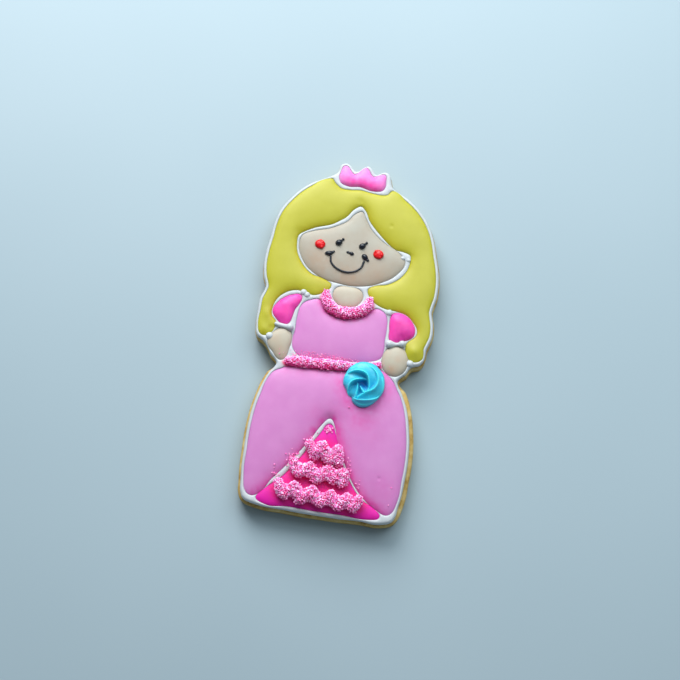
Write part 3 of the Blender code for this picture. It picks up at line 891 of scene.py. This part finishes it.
# The turns of each ruffle's zigzag, from its left end: (across, along) from the CAD node's middle
RUFFLES = {
    "ruffle_upper": [
        (-5.3, 2.3), (-3.6, 0.2), (-3.0, -1.3), (-1.6, 1.6), (-1.0, 2.8), (0.2, 0.4), (1.8, -2.0),
        (3.0, 0.3), (4.0, 2.1), (4.7, -0.3), (4.9, -1.9),
    ],
    "ruffle_middle": [
        (-8.6, 2.2), (-7.9, 0.3), (-6.7, -0.9), (-4.9, 0.6), (-3.2, 1.7), (-2.2, 0.0), (-0.6, -2.0),
        (1.2, 0.0), (2.7, 1.8), (3.9, 0.0), (4.8, -1.6), (6.0, 0.3), (7.8, 1.6), (8.2, -0.4), (7.6, -2.0),
    ],
    "ruffle_lower": [
        (-13.0, 2.3), (-12.2, 0.2), (-10.8, -1.0), (-9.2, 0.6), (-7.8, 2.2), (-6.8, 0.2), (-5.5, -1.9),
        (-3.6, 0.0), (-1.9, 1.7), (-0.9, -0.2), (0.6, -2.1), (2.6, -0.3), (4.1, 1.3), (5.2, -0.6),
        (6.6, -2.0), (8.2, -0.3), (9.4, 1.2), (10.4, -0.8), (11.6, -1.9), (12.6, -0.2), (13.0, 1.2),
    ],
}


def ruffle_balls(node):
    """Balls along a zigzag, which the piped line folds over at each turn, and along its middle."""
    low, high = heights(node)
    centre = middle(node)
    turns = through(np.array(RUFFLES[node]), RUFFLE_STEP, closed=False)
    window = np.ones(MIDDLE_WINDOW) / MIDDLE_WINDOW
    tall = (high - low) * MIDDLE_HEIGHT
    balls = []
    for place in zip(*[np.convolve(turns[:, k], window, "valid") for k in (0, 1)]):
        balls.append(ball(centre + place, low - 0.6 + tall, MIDDLE_RADIUS, tall))
    for across, along in turns:
        radius = random.uniform(*RUFFLE_RADII)
        tall = (high - low) * random.uniform(*RUFFLE_HEIGHTS)
        balls.append(ball(centre + (across, along), low - 0.6 + tall, radius, tall))
        for _ in range(BLOBS):
            turn = random.uniform(0, math.tau)
            reach = random.uniform(*BLOB_REACHES)
            size = random.uniform(*BLOB_SIZES)
            place = centre + (across + reach * math.cos(turn), along + reach * math.sin(turn))
            up = random.uniform(0.2, 0.9) * (1.5 - reach) + 0.25
            balls.append(ball(place, low - 0.5 + up * tall * 2, size))
    return balls


def trim_shade(node, places, outs, foot, top):
    """How much painted shade the sugar of a trim takes: most low down and on the side to the foot, away
    from the lights.
    """
    low_down = np.clip(0.7 - 1.7 * (places[:, 2] - foot) / (top - foot), 0, 1)
    to_foot = -outs[:, 1]
    if node in ROPES:
        shade_share = low_down * np.clip(0.6 + to_foot, 0, 1) + np.clip(1.4 * to_foot - 0.35, 0, 1)
    else:
        shade_share = low_down + np.clip(0.8 * to_foot - 0.25, 0, 0.4)
    return np.clip(shade_share, 0, MOST_TRIM_SHADE)


def sugared_pieces():
    """The sugared ropes and ruffles, and all the sugar as one piece."""
    lots = []  # of places, ways out, shares of painted shade on the trims and of tint on loose grains, and sizes
    for node in [*ROPES, *RUFFLES]:
        balls, rise = (rope_balls(node), 0.1) if node in ROPES else (ruffle_balls(node), 0.0)
        points, faces = lump(node + "_icing", balls, SUGARED_SKIN, SUGARED, [node])
        places, outs = on_surface(points, faces, GRAIN_SPACING, rise)
        shade_share = trim_shade(node, places, outs, points[:, 2].min(), points[:, 2].max())
        lots.append((places, outs, shade_share, random.uniform(*GRAIN_SIZES, len(places))))
        stacked = random.random_sample(len(places)) < STACKED
        places, outs, shade_share = places[stacked], outs[stacked], shade_share[stacked]
        places = places + outs * STACK_HEIGHT + random.normal(size=places.shape) * STACK_LEAN
        lots.append((places, outs, shade_share * 0.5, random.uniform(*STACKED_SIZES, len(places))))
    places, sizes = loose_grains()
    lots.append((places, np.tile([0, 0, 1.0], (len(places), 1)), np.full(len(places), LOOSE_DAMP), sizes))
    places, outs, shade_and_tint, sizes = (np.concatenate(column) for column in zip(*lots))
    points, faces = grains(places, outs, sizes)
    shade_and_tint = np.repeat(shade_and_tint, len(crystal()[0]))
    piece("sugar_grains", points, faces, SUGAR, smooth=False, shade_and_dye=shade_and_tint)


# Grains that fell beside the trims: (across, along) from the CAD node's middle
STRAYS = {
    "skirt": [
        (-15.7, -12.7), (-15.6, -13.7), (-7.7, -3.1), (-3.7, -0.2), (-10.2, -8.2), (4.9, 9.5),
        (8.8, -10.7), (22.6, -14.0), (22.5, -19.6),
    ],
    "hand_left": [(0.8, -3.7)],
}
# Where sugar was spilt: (across, along, spread across and along, grains, smallest, largest)
SPILLS = {
    "underskirt": [
        (-0.7, 12.9, 0.55, 0.6, 22, 0.4, 0.6), (-6.0, 7.8, 0.7, 0.9, 26, 0.25, 0.5),
        (-10.8, 1.8, 1.0, 0.9, 34, 0.25, 0.5), (-15.0, -4.6, 0.9, 0.6, 12, 0.25, 0.4),
        (7.6, 2.2, 0.5, 1.2, 10, 0.2, 0.36), (11.4, -3.0, 0.6, 1.0, 8, 0.2, 0.36),
    ],
    "belt": [
        (0.0, 1.8, 6.0, 0.55, 420, 0.12, 0.24), (-12.6, 1.2, 0.9, 0.5, 16, 0.12, 0.26),
        (13.9, -0.4, 0.8, 0.7, 18, 0.25, 0.42), (0.0, -2.4, 7.0, 0.4, 40, 0.14, 0.28),
    ],
}


def loose_grains():
    """Grains lying on the icing away from the sugared trims, and their sizes."""
    places = [near(node, *place) for node, strays in STRAYS.items() for place in strays]
    sizes = random.uniform(*STRAY_SIZES, len(places)).tolist()
    for node, spills in SPILLS.items():
        for across, along, wide, deep, count, smallest, largest in spills:
            spread = random.normal(size=(count, 2)) * (wide, deep)
            places += (near(node, across, along) + spread).tolist()
            sizes += random.uniform(smallest, largest, count).tolist()
    places = np.array(places)
    border = rings["white_icing"]
    held = inside(places, border) & (distance(places, border) > LOOSE_GAP)
    places = places[held]
    ground = np.concatenate(icing_tops)
    return np.column_stack([places, ground[nearest(places, ground[:, :2]), 2]]), np.array(sizes)[held]


# ---- rosette

# Crests of the swirl, from its edge inwards: (across, along, height) from the CAD rosette's middle and foot
CRESTS = [
    [(-6.3, 1.9, 1.2), (-5.0, 3.1, 2.8), (-3.2, 3.85, 3.7), (-1.4, 3.9, 4.1), (0.0, 3.45, 4.2),
     (0.95, 2.5, 4.0), (1.5, 1.0, 3.6), (1.8, -0.7, 2.9), (1.75, -1.7, 2.4)],
    [(-4.8, 4.7, 0.9), (-2.8, 5.9, 1.8), (-0.7, 6.3, 2.3), (1.5, 5.8, 2.7), (2.9, 4.9, 3.0),
     (3.9, 3.6, 3.5), (4.4, 1.9, 3.9), (4.3, 0.3, 4.1), (3.6, -1.1, 4.2), (2.4, -2.0, 4.1),
     (1.1, -2.7, 3.8), (0.2, -3.35, 3.4), (-1.4, -4.6, 2.8)],
    [(-0.95, -1.0, 2.2), (-0.4, -1.8, 2.9), (0.35, -2.75, 3.4)],
    [(5.6, 3.0, 0.9), (6.3, 1.0, 1.4), (6.4, -0.8, 1.7), (6.0, -2.4, 2.4), (4.9, -3.9, 3.1),
     (3.4, -4.7, 3.4), (1.9, -5.1, 3.5), (-0.1, -5.4, 3.4), (-1.6, -5.4, 3.0), (-2.3, -5.1, 2.6)],
    [(-2.1, -5.0, 2.4), (-1.9, -3.7, 3.0), (-1.75, -2.4, 3.1), (-1.8, -1.1, 2.8), (-1.9, -0.2, 2.2)],
    [(-4.0, -5.2, 1.0), (-4.7, -3.4, 2.0), (-4.75, -1.8, 2.9), (-4.3, -0.4, 3.5), (-3.3, 0.6, 3.7),
     (-2.0, 1.2, 3.4), (-0.6, 1.6, 2.9), (0.6, 1.6, 2.2)],
    [(5.2, -4.15, 0.9), (4.0, -5.45, 1.4), (2.2, -6.4, 1.8), (0.3, -6.75, 2.1), (-1.4, -6.35, 2.1),
     (-2.5, -5.6, 1.9)],
]
# The swirl's outline: (across, along) from its middle, anticlockwise
SWIRL_EDGE = [
    (6.7, 1.2), (6.1, 3.4), (4.6, 5.2), (2.4, 6.7), (-0.6, 7.1), (-3.0, 6.5), (-5.0, 4.9), (-6.2, 2.8),
    (-6.8, 0.3), (-6.6, -1.2), (-5.9, -2.2), (-5.2, -3.2), (-4.3, -4.7), (-3.1, -5.3), (-3.0, -6.1),
    (-2.0, -7.2), (-0.3, -7.9), (1.4, -7.8), (2.9, -7.1), (4.5, -5.6), (5.9, -3.6), (6.8, -1.2),
]
SWIRL_SHIFT = (0, 0.45)  # of that outline
SWIRL_STEP = 0.2
SWIRL_GRID = 0.13
SWIRL_INSETS = (0.05, 0.12, 0.22, 0.36)
SWIRL_GAP = 0.45
SWIRL_REACH = 0.5
SWIRL_SIDE = [(0.0, 9.9), (0.1, 9.6), (0.45, 9.2), (0.8, 9.1)]
SWIRL_WAVES = (0.04, 0.8, 0)
SWIRL_LOWEST = 0.3  # above the foot
CREST_SHARPNESS = 22
# Slopes beside a crest: (depth, width) of its ridge, and of its inner and outer side
RIDGE = (0.45, 0.22)
INNER_SIDE = (3.2, 1.0)
OUTER_SIDE = (1.7, 1.3)


def fall(far, depth, width):
    """How far a slope has fallen away this far from its crest, where it levels out at a depth."""
    return depth * (1 - np.exp(-far / width))


def crested(points):
    """The swirl's height over its foot at each point, and how far that is from a crest."""
    height = np.full(len(points), SWIRL_LOWEST)
    from_crest = np.full(len(points), np.inf)
    for crest in CRESTS:
        line = through(np.array(crest), 0.1, closed=False)
        along = np.gradient(line[:, :2], axis=0)
        at = nearest(points, line[:, :2])
        gap = points - line[at, :2]
        far = np.linalg.norm(gap, axis=1)
        from_crest = np.minimum(from_crest, far)
        inner = along[at, 0] * gap[:, 1] < along[at, 1] * gap[:, 0]  # the right of a clockwise crest
        slope = np.where(inner, fall(far, *INNER_SIDE), fall(far, *OUTER_SIDE))
        crest_height = line[at, 2] - fall(far, *RIDGE) - slope
        height = np.logaddexp(height * CREST_SHARPNESS, crest_height * CREST_SHARPNESS) / CREST_SHARPNESS
    return height, from_crest


def swirl():
    low, high = heights("rosette")
    ring = through(np.array(SWIRL_EDGE) + SWIRL_SHIFT, SWIRL_STEP)
    points, faces = sheet(ring, SWIRL_INSETS, SWIRL_GRID, SWIRL_GAP)
    height, from_crest = crested(points)
    edge = np.sqrt(settled(points, faces, rim_of(faces), SWIRL_REACH))
    z = low - 0.3 + (height + 0.3) * (0.25 + 0.75 * edge) + edge * waves(points, SWIRL_WAVES)
    top = np.column_stack([points + middle("rosette"), np.minimum(z, high - 0.02)])
    everything, made = closed_down(top, faces, SWIRL_SIDE)
    # Painted shade: the blue deepens away from the crests and most in the pit at the heart, which leaves
    # the crests pale as painted highlights.
    in_heart = np.exp(-(np.linalg.norm(points, axis=1) / 3.2) ** 2)
    deep = np.clip((3.4 - height) / 2.0, 0, 1) * in_heart
    shade_and_dye = 0.42 * (1 - np.exp(-(from_crest / 0.3) ** 2)) + 0.58 * deep
    piece("blue_swirl", everything, made, BLUE, ["rosette"], shade_and_dye=shade_and_dye)


# ---- face and cuffs

# Piped strokes: (turns as across, along, radius from the CAD node's middle, spacing of the balls)
EYE = [
    (-0.7, -0.9, 0.7), (-0.35, -0.7, 1.05), (0.1, -0.35, 0.85), (0.5, 0.1, 0.42), (0.75, 0.45, 0.36),
    (1.0, 0.75, 0.46),
]
STROKES = {
    "eye_left": (EYE, 0.2),
    "eye_right": (EYE, 0.2),
    "nose": ([
        (-0.9, -0.1, 0.44), (-0.5, -0.2, 0.4), (0.1, -0.3, 0.42), (0.5, -0.4, 0.66), (0.85, -0.5, 0.5),
    ], 0.15),
    "mouth": ([
        (-5.6, 2.4, 0.36), (-5.2, 0.5, 0.36), (-3.6, -1.1, 0.34), (-1.7, -1.9, 0.34), (0.2, -2.2, 0.36),
        (2.1, -1.9, 0.34), (3.8, -1.1, 0.34), (5.1, 0.3, 0.36), (5.6, 2.3, 0.38),
    ], 0.15),
    "dimple_left": ([
        (-1.15, -0.4, 0.5), (-0.7, -0.3, 0.72), (-0.1, -0.25, 0.85), (0.5, 0.05, 0.62), (1.0, 0.4, 0.45),
        (1.3, 0.6, 0.38),
    ], 0.15),
    "dimple_right": ([
        (-0.75, 0.3, 0.8), (-0.4, 0.1, 1.0), (0.05, -0.2, 0.75), (0.5, -0.65, 0.46), (0.8, -0.9, 0.5),
    ], 0.15),
}
# Cuffs, each a short piped bar between two dots, in the same way
CUFFS = {
    "cuff_left": ([
        (-2.6, 0.1, 0.7), (-1.2, -0.15, 0.8), (0.4, -0.3, 0.8), (1.4, -0.3, 1.0), (2.0, -0.3, 1.3),
    ], 0.25),
    "cuff_right": ([
        (-2.1, -0.5, 1.35), (-1.2, -0.45, 1.0), (-0.1, -0.3, 0.65), (1.0, -0.1, 0.7), (2.0, 0.2, 1.2),
    ], 0.25),
}
# White dots at ends and joins of the piped lines: (CAD node, across, along, radius)
DOTS = [
    ("hand_right", 5.0, 0.0, 1.25), ("sleeve_right", -5.0, 4.7, 1.2), ("sleeve_left", 4.7, 6.3, 1.2),
    ("sleeve_left", 5.9, 5.6, 1.1), ("face", 18.95, -1.15, 0.85), ("face", 17.0, -0.75, 0.8),
    ("hand_left", -3.5, 1.8, 1.35),
]
DOT_HEIGHT = 8.2
CHEEK_BLOBS = 7
CHEEK_REACHES = (0.75, 1.1)
CHEEK_SIZES = (0.6, 0.8)


def stroke_balls(node, stroke, lift):
    """Balls along a piped stroke, this far over the CAD node's foot."""
    turns, spacing = stroke
    centre = middle(node)
    foot = heights(node)[0] + lift
    line = through(np.array(turns), spacing, closed=False)
    return [ball(centre + (x, y), foot, radius, radius * 1.1) for x, y, radius in line]


def cheek_balls(node):
    """A dab of icing: a broad ball in a ring of smaller ones."""
    centre = middle(node) + (-0.05, -0.3)
    low = heights(node)[0]
    balls = [ball(centre, low - 0.3, 1.85, 1.1, 1.65)]
    for k in range(CHEEK_BLOBS):
        turn = math.tau * k / CHEEK_BLOBS + random.uniform(-0.3, 0.3)
        reach = random.uniform(*CHEEK_REACHES)
        place = centre + reach * np.array([math.cos(turn), math.sin(turn)])
        balls.append(ball(place, low, random.uniform(*CHEEK_SIZES)))
    return balls


def face_and_cuffs():
    for node, stroke in STROKES.items():
        lump(node + "_stroke", stroke_balls(node, stroke, -0.1), STROKE_SKIN, BLACK, [node])
    for node, stroke in CUFFS.items():
        lump(node + "_bead", stroke_balls(node, stroke, 0.15), BEAD_SKIN, WHITE, [node])
    balls = [
        ball(near(node, across, along), DOT_HEIGHT, radius, radius * 0.8, radius * 0.95)
        for node, across, along, radius in DOTS
    ]
    lump("white_dots", balls, BEAD_SKIN, WHITE)
    for node in ("cheek_left", "cheek_right"):
        lump(node + "_dab", cheek_balls(node), DAB_SKIN, RED, [node])


# ---- build

for node in [*FLOODS, "white_icing", "cookie_base"]:
    ring = through(outline_of(node), OUTLINE_STEP)
    out = -inward(ring)
    moved = np.full(len(ring), SPREADS.get(node, FLOOD_SPREAD))
    for across, along, radius, push in PUSHES.get(node, ()):
        moved += np.clip(out @ push, 0, None) * spot(ring, node, across, along, radius)
    rings[node] = through(ring + out * moved[:, None], OUTLINE_STEP)
cookie()
white_lines()
for node in FLOODS:
    flood(node)
sugared_pieces()
swirl()
face_and_cuffs()


# ---- table, light and camera

TABLE_HALF = 2.0  # metres, as are the sizes and distances of the lights and of the camera
# Lights: (azimuth, elevation, distance, size, power, colour)
LIGHTS = {
    "window": (204, 37, 0.6, 0.45, 4.35, (1.0, 0.99, 1.0)),
    "second_window": (152, 55, 0.6, 0.5, 2.1, (0.9, 0.97, 1.0)),
}
ROOM_COLOUR = (0.72, 0.86, 1.0, 1)
ROOM_STRENGTH = 0.22
# The photograph's view: almost straight down, from a little to the right of the foot
CAMERA_AZIMUTH = 9.5
CAMERA_ELEVATION = 78
CAMERA_AWAY = 0.4349
CAMERA_AIM = (-0.3, -1.3, 8.0)


def direction(azimuth, elevation):
    """The way from the cookie to a place. Azimuth 0 is on the foot's side, and 180 on the crown's."""
    a, e = math.radians(azimuth), math.radians(elevation)
    return Vector((math.sin(a) * math.cos(e), -math.cos(a) * math.cos(e), math.sin(e)))


def placed(name, data, where, back):
    """Puts a light or a camera in the scene, with its back to this way."""
    made = linked(name, data)
    made.location = where
    made.rotation_mode = "QUATERNION"
    made.rotation_quaternion = back.to_track_quat("Z", "Y")
    return made


def table_top():
    stops = [(0.3, (0.35, 0.46, 0.51)), (0.7, (0.38, 0.49, 0.54))]
    mesh = bpy.data.meshes.new("table_top")
    mesh.materials.append(material("pale_table", (6, 2, 0.5), stops, {"Roughness": 0.6}))
    corners = [(TABLE_HALF * x, TABLE_HALF * y, 0) for x, y in ((-1, -1), (1, -1), (1, 1), (-1, 1))]
    mesh.from_pydata(corners, [], [(0, 1, 2, 3)])
    top = linked("table_top", mesh)


def soft_lights():
    for name, (azimuth, elevation, away, size, power, colour) in LIGHTS.items():
        data = bpy.data.lights.new(name, "AREA")
        data.shape = "DISK"
        data.size = size
        data.energy = power
        data.color = colour
        back = direction(azimuth, elevation)
        placed(name, data, back * away, back)


def surroundings():
    world = bpy.data.worlds.new("room")
    world.use_nodes = True
    tune(world.node_tree.nodes["Background"], {"Color": ROOM_COLOUR, "Strength": ROOM_STRENGTH})
    bpy.context.scene.world = world
    bpy.context.scene.view_settings.view_transform = "Standard"


def camera():
    data = bpy.data.cameras.new("camera")
    data.lens = 70
    data.sensor_width = 36
    data.clip_start = 0.01
    back = direction(CAMERA_AZIMUTH, CAMERA_ELEVATION)
    where = Vector(CAMERA_AIM) * MM + back * CAMERA_AWAY
    bpy.context.scene.camera = placed("camera", data, where, back)


table_top()
soft_lights()
surroundings()
camera()
